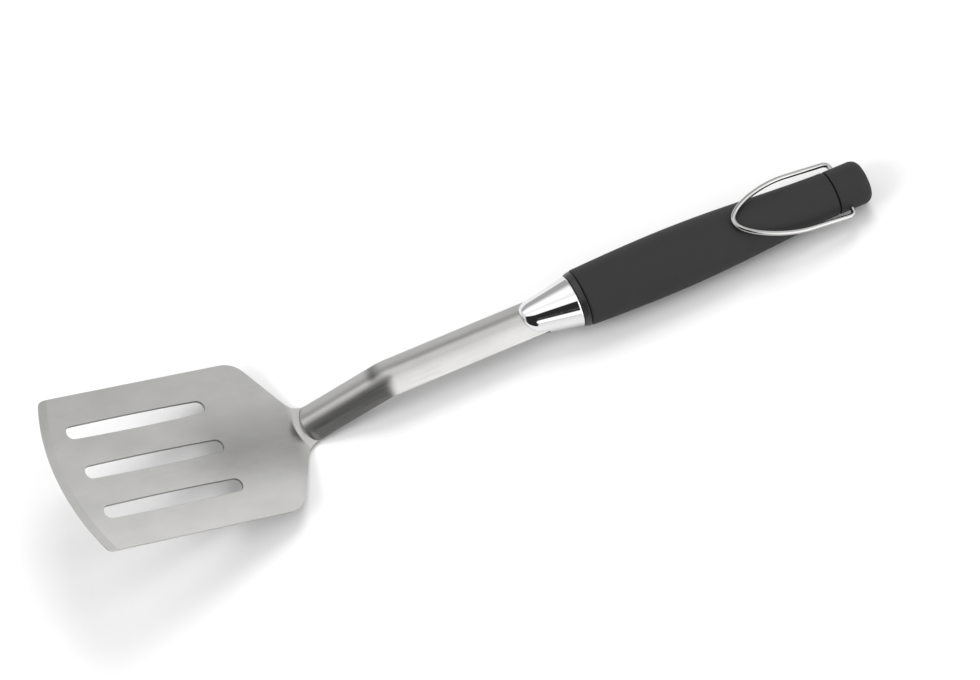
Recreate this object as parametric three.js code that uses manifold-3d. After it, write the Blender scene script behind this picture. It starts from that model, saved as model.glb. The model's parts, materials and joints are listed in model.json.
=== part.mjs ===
// Barbecue spatula: slotted pressed-steel blade and shaft, chromed ferrule, soft grip and wire hanging loop.
// Millimetres, +Z up. +X runs from the blade to the handle. The tool lies as it does on a table, on the heel of
// its neck and on the rear of its grip, with the front of the blade raised.

import * as THREE from 'three';
import { mergeVertices } from 'three/addons/utils/BufferGeometryUtils.js';
import Module from 'manifold-3d';

const wasm = await Module();
wasm.setup();

// Sheet and blade
const SHEET = 1.5;
const BLADE_LENGTH = 153.6;
const BLADE_WIDTH = 93.6;
const BLADE_TILT = THREE.MathUtils.degToRad(25.8);
const FRONT_RADIUS = 115;
const FRONT_CORNER_RADIUS = 4;
const BEVEL_WIDTH = 4.4;
const BEVEL_DEPTH = 0.9;
const SHOULDER_ANGLE = THREE.MathUtils.degToRad(59.5);
const SHOULDER_RADIUS = 13.7;
const NECK_FILLET_RADIUS = 13.7;
const SHOULDER_FOOT = 2.2;

// Slots in the blade, counted across its width
const SLOT_COUNT = 3;
const SLOT_WIDTH = 8.6;
const SLOT_PITCH = 24.7;
const SLOT_TO_NECK = 52;
const SLOT_TO_FRONT = 16.8;

// Shaft: a roof-shaped channel that rises from the neck, bends, and runs on into the handle as the tang
const FOLD_RADIUS = 7;
const RISE_LENGTH = 51.3;
const RISE_TILT = THREE.MathUtils.degToRad(19.6);
const BEND_RADIUS = 16;
const SHAFT_WIDTH = 20.6;
const SHAFT_RISE = 7.4;
const RIDGE_ROUNDNESS = 0.3;
const CHANNEL_NOSE_START = 4.8;
const CHANNEL_NOSE_LENGTH = 8.5;
const TANG_WIDTH = 15.6;
const TANG_TAPER_START = 94;
const TANG_TAPER_LENGTH = 14;
const TANG_END = 204;

// Handle, with distances along its axis counted from the bend of the shaft
const HANDLE_TILT = THREE.MathUtils.degToRad(1.47);
const AXIS_RISE = 0.8;
const FERRULE_REAR = 110.6;
const FERRULE_LENGTH = 33.2;
const FERRULE_HALF_WIDTH = 14.8;
const FERRULE_HALF_HEIGHT = 12.2;
const FERRULE_WALL = 1.4;
const FERRULE_TIP = { halfWidth: 8.2, halfHeight: 9.5, depth: 6 };
const FERRULE_NOSE = { plan: 8.5, side: 4 };
const COLLAR_LENGTH = 3.3;
const COLLAR_HALF_WIDTH = 15.2;
const COLLAR_HALF_HEIGHT = 12.5;
const COLLAR_FLARE = 0.9;
const GRIP_LENGTH = 151.5;
const GRIP_FRONT = { halfWidth: 16.4, halfHeight: 13.1 };
const GRIP_BELLY = { halfWidth: 17.7, halfHeight: 13.6 };
const GRIP_REAR = { halfWidth: 12.7, halfHeight: 10.8 };
const BELLY_FROM_FRONT = 50;
const TAPER_POWER = 1.5;
const GRIP_WALL = 2.4;
const GRIP_EDGE_RADIUS = 1.6;
const CORE_FRONT = 92;
const RIVET_RADIUS = 2;
const RIVET_PLACES = { tang_rivet_front: 139, tang_rivet_rear: 179 };
const RIVET_RECESS = 0.6;

// End cap and hanging loop
const CAP_LENGTH = 20;
const CAP_TAPER = 0.2;
const CAP_EDGE_RADIUS = 4.5;
const SPIGOT_LENGTH = 12;
const SPIGOT_HALF_WIDTH = 8;
const SPIGOT_HALF_HEIGHT = 6.5;
const PIVOT_FROM_CAP_FRONT = 6.2;
const PIVOT_RECESS_RADIUS = 3.6;
const PIVOT_RECESS_DEPTH = 1.2;
const WIRE_RADIUS = 1.4;
const BAIL_LENGTH = 68.6;
const BAIL_HALF_WIDTH = 17.1;
const BAIL_LEG_LENGTH = 28;
const BAIL_LEG_REACH = 14;
const BAIL_APEX_REACH = 6;
const BAIL_BEND = 4;
const BAIL_STUB_INNER = 5;

// Fit between pieces that touch, and how finely curves are drawn
const FIT = 0.3;
const OVAL_SIDES = 32;
const SHEET_COLUMNS = 16;
const WIRE_SIDES = 8;
const WIRE_STEPS = 76;
const CUT_MARGIN = 2;

// Places worked out from the sizes above
const neckTurn = BLADE_TILT + RISE_TILT;
const bendTurn = RISE_TILT + HANDLE_TILT;
const foldTangent = FOLD_RADIUS * Math.tan(neckTurn / 2);
const bendTangent = BEND_RADIUS * Math.tan(bendTurn / 2);
const collarFront = FERRULE_REAR + FIT;
const gripFront = collarFront + COLLAR_LENGTH + FIT;
const gripRear = gripFront + GRIP_LENGTH;
const gripBelly = gripFront + BELLY_FROM_FRONT;
const capFront = gripRear + FIT;
const capRear = capFront + CAP_LENGTH;
const pivotPlace = capFront + PIVOT_FROM_CAP_FRONT;
const coreRear = gripRear - FIT;
const noseHalfWidth = FERRULE_HALF_WIDTH - FERRULE_WALL - FIT;
const noseHalfHeight = FERRULE_HALF_HEIGHT - FERRULE_WALL - FIT;

const bladeFrame = new THREE.Matrix4().makeRotationY(BLADE_TILT);
const bendPoint = new THREE.Vector3(RISE_LENGTH * Math.cos(RISE_TILT), 0, RISE_LENGTH * Math.sin(RISE_TILT));
const handleFrame = new THREE.Matrix4().makeRotationY(HANDLE_TILT).setPosition(bendPoint);

// Evenly spaced numbers from one value to another, both included.
function span(from, to, steps) {
  return Array.from({ length: steps + 1 }, (_, i) => THREE.MathUtils.lerp(from, to, i / steps));
}

// A closed mesh through a row of rings that all have the same even number of points. Each end is closed by a strip
// between the two halves of its ring.
function loft(rings) {
  const count = rings[0].length;
  const index = [];
  for (let i = 0; i + 1 < rings.length; i += 1) {
    for (let j = 0; j < count; j += 1) {
      const k = (j + 1) % count;
      const [a, b, c, d] = [i * count + j, i * count + k, (i + 1) * count + k, (i + 1) * count + j];
      index.push(a, b, c, a, c, d);
    }
  }
  const last = (rings.length - 1) * count;
  for (let j = 0; j + 1 < count / 2; j += 1) {
    const [a, b, c, d] = [j, j + 1, count - 2 - j, count - 1 - j];
    index.push(a, c, b, a, d, c);
    index.push(last + a, last + b, last + c, last + a, last + c, last + d);
  }
  const geometry = new THREE.BufferGeometry().setFromPoints(rings.flat());
  geometry.setIndex(index);
  return geometry;
}

// Six times the signed volume inside a closed mesh: negative when its faces point in.
function signedVolume(vertices, triangles) {
  const [a, b, c] = [new THREE.Vector3(), new THREE.Vector3(), new THREE.Vector3()];
  let total = 0;
  for (let i = 0; i < triangles.length; i += 3) {
    a.fromArray(vertices, 3 * triangles[i]);
    b.fromArray(vertices, 3 * triangles[i + 1]);
    c.fromArray(vertices, 3 * triangles[i + 2]);
    total += a.dot(b.cross(c));
  }
  return total;
}

// A closed geometry as a solid that can be joined and cut, with its faces turned outward.
function solid(geometry, matrix = new THREE.Matrix4()) {
  const source = geometry.clone().applyMatrix4(matrix);
  source.deleteAttribute('normal');
  source.deleteAttribute('uv');
  const merged = mergeVertices(source);
  const vertProperties = new Float32Array(merged.attributes.position.array);
  const triVerts = new Uint32Array(merged.index.array);
  if (signedVolume(vertProperties, triVerts) < 0) triVerts.reverse();
  return new wasm.Manifold(new wasm.Mesh({ numProp: 3, vertProperties, triVerts }));
}

// A named mesh of a finished solid.
function piece(name, body, material) {
  const { vertProperties, triVerts } = body.getMesh();
  const geometry = new THREE.BufferGeometry();
  geometry.setAttribute('position', new THREE.BufferAttribute(vertProperties, 3));
  geometry.setIndex(new THREE.BufferAttribute(triVerts, 1));
  geometry.computeVertexNormals();
  const mesh = new THREE.Mesh(geometry, material);
  mesh.name = name;
  return mesh;
}

// A box given by its lowest and highest corners.
function boxSolid(low, high) {
  const size = new THREE.Vector3().subVectors(high, low);
  const middle = new THREE.Vector3().addVectors(low, high).multiplyScalar(0.5);
  return solid(new THREE.BoxGeometry(size.x, size.y, size.z).translate(middle.x, middle.y, middle.z));
}

// Side profile of the pressing: straight runs joined by arcs, followed from the blade's front edge to the tang.
const profileRuns = [
  { length: BLADE_LENGTH - foldTangent, curvature: 0 },
  { length: FOLD_RADIUS * neckTurn, curvature: 1 / FOLD_RADIUS },
  { length: RISE_LENGTH - foldTangent - bendTangent, curvature: 0 },
  { length: BEND_RADIUS * bendTurn, curvature: -1 / BEND_RADIUS },
  { length: TANG_END - bendTangent, curvature: 0 },
];

// Where a run has got to after a distance along it.
function follow(start, run, distance) {
  const tilt = start.tilt + run.curvature * distance;
  if (run.curvature === 0) {
    return { x: start.x + distance * Math.cos(tilt), z: start.z + distance * Math.sin(tilt), tilt };
  }
  return {
    x: start.x + (Math.sin(tilt) - Math.sin(start.tilt)) / run.curvature,
    z: start.z - (Math.cos(tilt) - Math.cos(start.tilt)) / run.curvature,
    tilt,
  };
}

// Point and tilt of the profile. Distances are developed lengths, counted from the middle of the neck's fold.
const neckDistance = profileRuns[0].length + profileRuns[1].length / 2;
function profileAt(distance) {
  const front = { x: -BLADE_LENGTH * Math.cos(BLADE_TILT), z: BLADE_LENGTH * Math.sin(BLADE_TILT) };
  let start = { ...front, tilt: -BLADE_TILT };
  let left = distance + neckDistance;
  for (const run of profileRuns.slice(0, -1)) {
    if (left <= run.length) return follow(start, run, left);
    start = follow(start, run, run.length);
    left -= run.length;
  }
  return follow(start, profileRuns.at(-1), left);
}

// Developed distances of the stations on the pressing.
const bladeFrontAt = -neckDistance;
const bendStartAt = profileRuns[1].length / 2 + profileRuns[2].length;
const bendEndAt = bendStartAt + profileRuns[3].length;
const alongHandle = (place) => bendEndAt + place - bendTangent;

// Outline of the blank: blade side, rounded corner, slanting shoulder, neck fillet, shaft.
const halfShaft = SHAFT_WIDTH / 2;
const shoulderDrop = (BLADE_WIDTH / 2 - halfShaft) / Math.tan(SHOULDER_ANGLE);
const cornerTangent = SHOULDER_RADIUS * Math.tan(SHOULDER_ANGLE / 2);
const filletTangent = NECK_FILLET_RADIUS * Math.tan(SHOULDER_ANGLE / 2);
const cornerStart = -SHOULDER_FOOT - shoulderDrop - cornerTangent;
const cornerEnd = -SHOULDER_FOOT - shoulderDrop + cornerTangent * Math.cos(SHOULDER_ANGLE);
const filletStart = -SHOULDER_FOOT - filletTangent * Math.cos(SHOULDER_ANGLE);
const filletEnd = -SHOULDER_FOOT + filletTangent;

function halfWidthAt(distance) {
  if (distance <= cornerStart) return BLADE_WIDTH / 2;
  if (distance < cornerEnd) {
    const rise = Math.sqrt(SHOULDER_RADIUS ** 2 - (distance - cornerStart) ** 2);
    return BLADE_WIDTH / 2 - SHOULDER_RADIUS + rise;
  }
  if (distance < filletStart) return halfShaft - (distance + SHOULDER_FOOT) * Math.tan(SHOULDER_ANGLE);
  if (distance < filletEnd) {
    return halfShaft + NECK_FILLET_RADIUS - Math.sqrt(NECK_FILLET_RADIUS ** 2 - (filletEnd - distance) ** 2);
  }
  const taper = (distance - alongHandle(TANG_TAPER_START)) / TANG_TAPER_LENGTH;
  return THREE.MathUtils.lerp(SHAFT_WIDTH, TANG_WIDTH, THREE.MathUtils.clamp(taper, 0, 1)) / 2;
}

// Height of the channel's ridge above its edges: flat in the blade, rising over a rounded nose that starts a little
// ahead of the neck's fold.
function ridgeHeightAt(distance) {
  const rise = THREE.MathUtils.clamp((distance + CHANNEL_NOSE_START) / CHANNEL_NOSE_LENGTH, 0, 1);
  const scale = distance > filletEnd ? halfWidthAt(distance) / halfShaft : 1;
  return SHAFT_RISE * scale * Math.sin((rise * Math.PI) / 2) ** 2;
}

// Section of the channel from edge (-1) to edge (1): two even flanks and a rounded ridge.
const roofSpan = Math.hypot(1, RIDGE_ROUNDNESS) - RIDGE_ROUNDNESS;
const roof = (across) => (Math.hypot(1, RIDGE_ROUNDNESS) - Math.hypot(across, RIDGE_ROUNDNESS)) / roofSpan;
const roofSlope = (across) => -across / Math.hypot(across, RIDGE_ROUNDNESS) / roofSpan;
const acrossSheet = span(-1, 1, SHEET_COLUMNS);

// A point in the middle of the sheet's thickness.
function sheetPoint(distance, across) {
  const { x, z, tilt } = profileAt(distance);
  const lift = ridgeHeightAt(distance) * roof(across);
  return new THREE.Vector3(x - lift * Math.sin(tilt), across * halfWidthAt(distance), z + lift * Math.cos(tilt));
}

// The way the sheet faces at a point.
function sheetNormal(distance, across) {
  const step = 1e-3;
  const along = sheetPoint(distance + step, across).sub(sheetPoint(distance - step, across));
  const sideways = sheetPoint(distance, across + step).sub(sheetPoint(distance, across - step));
  return along.cross(sideways).normalize();
}

// The pressing before its front is trimmed and its holes are cut.
function pressedSheet() {
  const rows = [
    bladeFrontAt,
    ...span(cornerStart, cornerEnd, 7),
    ...span(filletStart, Math.max(filletEnd, CHANNEL_NOSE_LENGTH - CHANNEL_NOSE_START), 18),
    ...span(bendStartAt, bendEndAt, 6),
    ...span(alongHandle(TANG_TAPER_START), alongHandle(TANG_TAPER_START + TANG_TAPER_LENGTH), 2),
    alongHandle(TANG_END),
  ];
  const rings = rows.map((distance) => {
    const face = (side) => acrossSheet.map((across) => {
      const normal = sheetNormal(distance, across);
      return sheetPoint(distance, across).addScaledVector(normal, (side * SHEET) / 2);
    });
    return [...face(1), ...face(-1).reverse()];
  });
  return solid(loft(rings));
}

// What is trimmed off in front of the blade's curved edge and its two small corner radii.
function frontWaste() {
  const centre = FRONT_RADIUS - BLADE_LENGTH;
  const cornerY = BLADE_WIDTH / 2 - FRONT_CORNER_RADIUS;
  const cornerX = centre - Math.sqrt((FRONT_RADIUS - FRONT_CORNER_RADIUS) ** 2 - cornerY ** 2);
  const meet = Math.atan2(cornerY, cornerX - centre);
  const outerX = -BLADE_LENGTH - CUT_MARGIN;
  const outerY = BLADE_WIDTH / 2 + CUT_MARGIN;
  const shape = new THREE.Shape();
  shape.moveTo(outerX, -outerY);
  shape.lineTo(cornerX, -outerY);
  shape.absarc(cornerX, -cornerY, FRONT_CORNER_RADIUS, -Math.PI / 2, -meet, true);
  shape.absarc(centre, 0, FRONT_RADIUS, -meet, meet - 2 * Math.PI, true);
  shape.absarc(cornerX, cornerY, FRONT_CORNER_RADIUS, meet, Math.PI / 2, true);
  shape.lineTo(cornerX, outerY);
  shape.lineTo(outerX, outerY);
  const depth = 2 * CUT_MARGIN + SHEET;
  const options = { depth, bevelEnabled: false, curveSegments: 20 };
  return solid(new THREE.ExtrudeGeometry(shape, options).translate(0, 0, -depth / 2), bladeFrame);
}

// The long bevel ground on top of the front edge: a cone about the centre of the edge's arc.
function bevelCut() {
  const slope = BEVEL_DEPTH / BEVEL_WIDTH;
  const outer = FRONT_RADIUS + CUT_MARGIN;
  const top = SHEET / 2;
  const section = [
    new THREE.Vector2(FRONT_RADIUS - BEVEL_WIDTH, top),
    new THREE.Vector2(outer, top - slope * (BEVEL_WIDTH + CUT_MARGIN)),
    new THREE.Vector2(outer, top + CUT_MARGIN),
    new THREE.Vector2(FRONT_RADIUS - BEVEL_WIDTH, top),
  ];
  const cone = new THREE.LatheGeometry(section, 144).rotateX(Math.PI / 2);
  return solid(cone.translate(FRONT_RADIUS - BLADE_LENGTH, 0, 0), bladeFrame);
}

// One slot, round at both ends, right through the blade.
function slotCut(offset) {
  const radius = SLOT_WIDTH / 2;
  const rear = -SLOT_TO_NECK - radius;
  const front = SLOT_TO_FRONT - BLADE_LENGTH + radius;
  const shape = new THREE.Shape();
  shape.absarc(rear, offset, radius, -Math.PI / 2, Math.PI / 2, false);
  shape.absarc(front, offset, radius, Math.PI / 2, (3 * Math.PI) / 2, false);
  const depth = 2 * CUT_MARGIN + SHEET;
  const options = { depth, bevelEnabled: false, curveSegments: 10 };
  return solid(new THREE.ExtrudeGeometry(shape, options).translate(0, 0, -depth / 2), bladeFrame);
}

// An upright round bar on the handle's axis, for the rivets and their holes.
function uprightBar(place, radius, halfHeight) {
  const bar = new THREE.CylinderGeometry(radius, radius, 2 * halfHeight, 20).rotateX(Math.PI / 2);
  return bar.translate(place, 0, AXIS_RISE);
}

function rivetHole(place) {
  return uprightBar(place, RIVET_RADIUS + FIT, GRIP_BELLY.halfHeight);
}

function bladeAndShaft() {
  let body = pressedSheet().subtract(frontWaste()).subtract(bevelCut());
  for (let i = 0; i < SLOT_COUNT; i += 1) {
    body = body.subtract(slotCut((i - (SLOT_COUNT - 1) / 2) * SLOT_PITCH));
  }
  for (const place of Object.values(RIVET_PLACES)) body = body.subtract(solid(rivetHole(place), handleFrame));
  return body;
}

// A ring of the handle: an oval about its axis, with its own depth below the axis where that differs.
function oval(place, halfWidth, halfHeight, depth = halfHeight) {
  return Array.from({ length: OVAL_SIDES }, (_, i) => {
    const angle = (2 * Math.PI * (i + 0.5)) / OVAL_SIDES;
    const reach = Math.sin(angle) > 0 ? halfHeight : depth;
    return new THREE.Vector3(place, halfWidth * Math.cos(angle), AXIS_RISE + reach * Math.sin(angle));
  });
}

// Room for the shaft and tang inside the handle pieces: the channel's whole section with the fit added all round.
function shaftRoom(from, to) {
  const grow = SHEET / 2 + FIT;
  const taperEnd = TANG_TAPER_START + TANG_TAPER_LENGTH;
  const places = [from, ...[TANG_TAPER_START, taperEnd].filter((place) => place > from && place < to), to];
  const rings = places.map((place) => {
    const halfWidth = halfWidthAt(alongHandle(place));
    const ridge = ridgeHeightAt(alongHandle(place));
    const top = acrossSheet.map((across) => {
      const slope = (roofSlope(across) * ridge) / halfWidth;
      const scale = grow / Math.hypot(1, slope);
      return new THREE.Vector3(place, across * halfWidth - slope * scale, ridge * roof(across) + scale);
    });
    const floor = [...top].reverse().map(({ x, y }) => new THREE.Vector3(x, y, -grow));
    return [...top, ...floor];
  });
  return solid(loft(rings));
}

// The bullet nose, whose flat back is at the ferrule's rear edge, drawn in all round by a trim. It tapers towards its
// tip, which is round in plan and blunter from the side, and comes down onto the ridge of the shaft.
function noseRings(trim, rear) {
  const length = FERRULE_LENGTH - trim;
  const { halfWidth, halfHeight, depth } = FERRULE_TIP;
  const { plan, side } = FERRULE_NOSE;
  const roundEnd = span(0.1, 1, 7).map((share) => plan * share ** 2);
  const rings = [...roundEnd, ...span(plan, length, 4).slice(1)].map((fromTip) => {
    const taper = (tip, back, end) => {
      const round = Math.sqrt(1 - (1 - Math.min(fromTip / end, 1)) ** 2);
      return (THREE.MathUtils.lerp(tip, back, fromTip / length) - trim) * round;
    };
    return oval(FERRULE_REAR - length + fromTip, taper(halfWidth, FERRULE_HALF_WIDTH, plan),
      taper(halfHeight, FERRULE_HALF_HEIGHT, side), taper(depth, FERRULE_HALF_HEIGHT, side));
  });
  return rear > FERRULE_REAR ? [...rings, rings.at(-1).map((point) => point.clone().setX(rear))] : rings;
}

function ferrule() {
  const outside = noseRings(0, FERRULE_REAR);
  const inside = noseRings(FERRULE_WALL, FERRULE_REAR + CUT_MARGIN);
  const mouth = shaftRoom(FERRULE_REAR - FERRULE_LENGTH - CUT_MARGIN, FERRULE_REAR + CUT_MARGIN);
  return solid(loft(outside)).subtract(solid(loft(inside))).subtract(mouth);
}

function frontCollar() {
  const rear = collarFront + COLLAR_LENGTH;
  const outside = [[collarFront, 0], [rear, COLLAR_FLARE]].map(
    ([place, flare]) => oval(place, COLLAR_HALF_WIDTH + flare, COLLAR_HALF_HEIGHT + flare));
  const inside = [collarFront - CUT_MARGIN, rear + CUT_MARGIN].map(
    (place) => oval(place, noseHalfWidth + FIT, noseHalfHeight + FIT));
  return solid(loft(outside)).subtract(solid(loft(inside)));
}

// Half width and half height of the grip: full at the belly, easing down to the front and to the rear.
function gripSize(place) {
  const ahead = THREE.MathUtils.clamp((place - gripFront) / BELLY_FROM_FRONT, 0, 1);
  const behind = THREE.MathUtils.clamp((place - gripBelly) / (gripRear - gripBelly), 0, 1);
  const size = (key) => (place < gripBelly
    ? THREE.MathUtils.lerp(GRIP_FRONT[key], GRIP_BELLY[key], Math.sin((ahead * Math.PI) / 2))
    : THREE.MathUtils.lerp(GRIP_REAR[key], GRIP_BELLY[key], Math.cos((behind * Math.PI) / 2) ** TAPER_POWER));
  return { halfWidth: size('halfWidth'), halfHeight: size('halfHeight') };
}

// The grip's oval, drawn in by a wall or a fit.
function gripOval(place, inset) {
  const { halfWidth, halfHeight } = gripSize(place);
  return oval(place, halfWidth - inset, halfHeight - inset);
}

const gripPlaces = [...span(gripFront, gripBelly, 5), ...span(gripBelly, gripRear, 8).slice(1)];

function gripSleeve() {
  const edge = GRIP_EDGE_RADIUS;
  const rounding = [0, 0.5, 1].map((share) => (share * Math.PI) / 2);
  const inset = (angle) => edge * (1 - Math.cos(angle));
  const outside = [
    ...[...rounding].reverse().map((angle) => gripOval(gripFront + edge * (1 - Math.sin(angle)), inset(angle))),
    ...gripPlaces.slice(1, -1).map((place) => gripOval(place, 0)),
    ...rounding.map((angle) => gripOval(gripRear - edge * (1 - Math.sin(angle)), inset(angle))),
  ];
  const inside = gripPlaces.map((place) => gripOval(place, GRIP_WALL));
  const past = [gripFront, gripRear].map((place) => gripOval(place, GRIP_WALL));
  past[0].forEach((point) => point.setX(gripFront - CUT_MARGIN));
  past[1].forEach((point) => point.setX(gripRear + CUT_MARGIN));
  return solid(loft(outside)).subtract(solid(loft([past[0], ...inside, past[1]])));
}

function spigot(grow) {
  const places = [capFront - SPIGOT_LENGTH - grow, capFront + CUT_MARGIN];
  return solid(loft(places.map((place) => oval(place, SPIGOT_HALF_WIDTH + grow, SPIGOT_HALF_HEIGHT + grow))));
}

// The rigid filling of the handle: a nose inside the ferrule and collar, and a body inside the grip.
function coreBody() {
  const nose = solid(loft(noseRings(FERRULE_WALL + FIT, gripFront + CUT_MARGIN)));
  const places = [...gripPlaces.slice(0, -1), coreRear];
  const body = solid(loft(places.map((place) => gripOval(place, GRIP_WALL + FIT))));
  const room = shaftRoom(FERRULE_REAR - FERRULE_LENGTH - CUT_MARGIN, TANG_END + FIT);
  let core = nose.add(body).subtract(room).subtract(spigot(FIT));
  for (const place of Object.values(RIVET_PLACES)) core = core.subtract(solid(rivetHole(place)));
  return core;
}

// One half of the core, above (1) or below (-1) the handle's axis.
function coreHalf(core, side) {
  const reach = 2 * GRIP_BELLY.halfWidth;
  const near = AXIS_RISE + (side * FIT) / 2;
  const far = AXIS_RISE + side * reach;
  const low = new THREE.Vector3(CORE_FRONT, -reach, Math.min(near, far));
  const high = new THREE.Vector3(capFront, reach, Math.max(near, far));
  return core.intersect(boxSolid(low, high));
}

function tangRivet(place) {
  const halfHeight = gripSize(place).halfHeight - GRIP_WALL - FIT - RIVET_RECESS;
  return solid(uprightBar(place, RIVET_RADIUS, halfHeight));
}

// A round bar across the handle at the loop's pivot.
function crossBar(radius, from, to) {
  const bar = new THREE.CylinderGeometry(radius, radius, to - from, 20);
  return solid(bar.translate(pivotPlace, (from + to) / 2, AXIS_RISE));
}

function endCap() {
  const edge = CAP_EDGE_RADIUS;
  const { halfWidth, halfHeight } = GRIP_REAR;
  const rounding = span(0, Math.PI / 2, 5);
  const rings = [
    oval(capFront, halfWidth, halfHeight),
    ...rounding.map((angle) => {
      const inset = CAP_TAPER + edge * (1 - Math.cos(angle));
      return oval(capRear - edge * (1 - Math.sin(angle)), halfWidth - inset, halfHeight - inset);
    }),
  ];
  const reach = halfWidth + CUT_MARGIN;
  const recess = halfWidth - PIVOT_RECESS_DEPTH;
  return solid(loft(rings)).add(spigot(0))
    .subtract(crossBar(WIRE_RADIUS + FIT, -reach, reach))
    .subtract(crossBar(PIVOT_RECESS_RADIUS, recess, reach))
    .subtract(crossBar(PIVOT_RECESS_RADIUS, -reach, -recess));
}

// Centre line of the loop in its own plane, with the pivot at the origin and the apex towards -X.
function bailPath() {
  const at = (forward, sideways) => new THREE.Vector3(-forward, sideways, 0);
  const half = (side) => {
    const leg = side * BAIL_HALF_WIDTH;
    const apex = at(BAIL_LENGTH, 0);
    return [
      new THREE.LineCurve3(at(0, side * BAIL_STUB_INNER), at(0, leg - side * BAIL_BEND)),
      new THREE.QuadraticBezierCurve3(at(0, leg - side * BAIL_BEND), at(0, leg), at(BAIL_BEND, leg)),
      new THREE.LineCurve3(at(BAIL_BEND, leg), at(BAIL_LEG_LENGTH, leg)),
      new THREE.CubicBezierCurve3(at(BAIL_LEG_LENGTH, leg), at(BAIL_LEG_LENGTH + BAIL_LEG_REACH, leg),
        at(BAIL_LENGTH, side * BAIL_APEX_REACH), apex),
    ];
  };
  const back = half(-1).reverse().map((curve) => {
    const points = ['v3', 'v2', 'v1', 'v0'].filter((key) => curve[key]).map((key) => curve[key]);
    return new curve.constructor(...points);
  });
  const path = new THREE.CurvePath();
  [...half(1), ...back].forEach((curve) => path.add(curve));
  return path;
}

// The angle above the handle's axis at which the folded loop lies on the grip, one fit away from it.
function bailRestAngle(path) {
  const points = path.getSpacedPoints(WIRE_STEPS * 4);
  const clear = WIRE_RADIUS + FIT;
  const rests = (angle) => points.some(({ x, y }) => {
    const place = pivotPlace + x * Math.cos(angle);
    if (place > gripRear) return false;
    const { halfWidth, halfHeight } = gripSize(place);
    const height = -x * Math.sin(angle);
    return Math.hypot(y / (halfWidth + clear), height / (halfHeight + clear)) < 1;
  });
  let [low, high] = [0, Math.PI / 2];
  for (let i = 0; i < 40; i += 1) {
    const middle = (low + high) / 2;
    if (rests(middle)) low = middle;
    else high = middle;
  }
  return high;
}

function hangingBail(path) {
  const section = new THREE.Shape();
  section.absarc(0, 0, WIRE_RADIUS, 0, 2 * Math.PI, false);
  const options = { steps: WIRE_STEPS, extrudePath: path, curveSegments: WIRE_SIDES / 2 };
  return solid(new THREE.ExtrudeGeometry(section, options));
}

// Finishes
const material = (color, roughness, metalness) => new THREE.MeshStandardMaterial({ color, roughness, metalness });
const brushedSteel = () => material(0xb4b4b2, 0.38, 1);
const polishedChrome = () => material(0xe2e3e5, 0.06, 1);
const polishedWire = () => material(0xcfcfce, 0.16, 1);
const softGrip = () => material(0x353535, 0.82, 0);
const hardPlastic = () => material(0x2a2a2b, 0.55, 0);

// The assembly
const bail = bailPath();
const core = coreBody();
const handle = new THREE.Group();
handle.applyMatrix4(handleFrame);
handle.add(
  piece('ferrule', ferrule(), polishedChrome()),
  piece('front_collar', frontCollar(), hardPlastic()),
  piece('grip_sleeve', gripSleeve(), softGrip()),
  piece('core_upper_half', coreHalf(core, 1), hardPlastic()),
  piece('core_lower_half', coreHalf(core, -1), hardPlastic()),
  piece('end_cap', endCap(), softGrip()),
);
for (const [name, place] of Object.entries(RIVET_PLACES)) handle.add(piece(name, tangRivet(place), brushedSteel()));

const loop = new THREE.Group();
loop.position.set(pivotPlace, 0, AXIS_RISE);
loop.rotation.y = bailRestAngle(bail);
loop.add(piece('hanging_bail', hangingBail(bail), polishedWire()));
handle.add(loop);

const spatula = new THREE.Group();
spatula.add(piece('blade_and_shaft', bladeAndShaft(), brushedSteel()), handle);

// Stand the tool on z = 0 with its middle over the origin.
const box = new THREE.Box3().setFromObject(spatula, true);
const middle = box.getCenter(new THREE.Vector3());
spatula.position.set(-middle.x, -middle.y, -box.min.z);

export default spatula;
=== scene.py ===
"""Looks of a barbecue spatula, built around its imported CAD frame.

Sizes are those of the CAD part, apart from small forms that are drawn finer here: the neck's
fold, the shaft's ridge, the sides of the slots and the front of the loop. Lengths are
millimetres until a mesh is made in metres.
"""

import json
import math

import bpy
from mathutils import Matrix, Vector
from mathutils.geometry import delaunay_2d_cdt


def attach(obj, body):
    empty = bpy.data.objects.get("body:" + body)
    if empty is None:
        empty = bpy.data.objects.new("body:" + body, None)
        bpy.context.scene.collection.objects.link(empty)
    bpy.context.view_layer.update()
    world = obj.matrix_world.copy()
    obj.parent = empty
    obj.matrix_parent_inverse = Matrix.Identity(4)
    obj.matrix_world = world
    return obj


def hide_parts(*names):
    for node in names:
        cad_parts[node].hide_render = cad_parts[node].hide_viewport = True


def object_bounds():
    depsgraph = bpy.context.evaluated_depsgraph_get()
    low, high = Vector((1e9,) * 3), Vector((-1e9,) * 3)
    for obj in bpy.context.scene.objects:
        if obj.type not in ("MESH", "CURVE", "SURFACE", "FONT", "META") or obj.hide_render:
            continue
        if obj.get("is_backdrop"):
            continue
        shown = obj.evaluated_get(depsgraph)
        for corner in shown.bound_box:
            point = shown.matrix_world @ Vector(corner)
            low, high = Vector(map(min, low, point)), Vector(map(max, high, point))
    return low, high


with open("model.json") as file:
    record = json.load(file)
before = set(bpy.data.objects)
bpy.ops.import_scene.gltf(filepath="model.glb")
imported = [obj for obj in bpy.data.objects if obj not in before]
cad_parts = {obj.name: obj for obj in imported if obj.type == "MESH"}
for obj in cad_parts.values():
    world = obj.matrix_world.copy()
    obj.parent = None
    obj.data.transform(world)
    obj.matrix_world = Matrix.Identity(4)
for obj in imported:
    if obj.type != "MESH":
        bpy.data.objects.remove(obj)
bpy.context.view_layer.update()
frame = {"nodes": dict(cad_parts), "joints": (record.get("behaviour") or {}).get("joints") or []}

MM = 0.001

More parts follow.
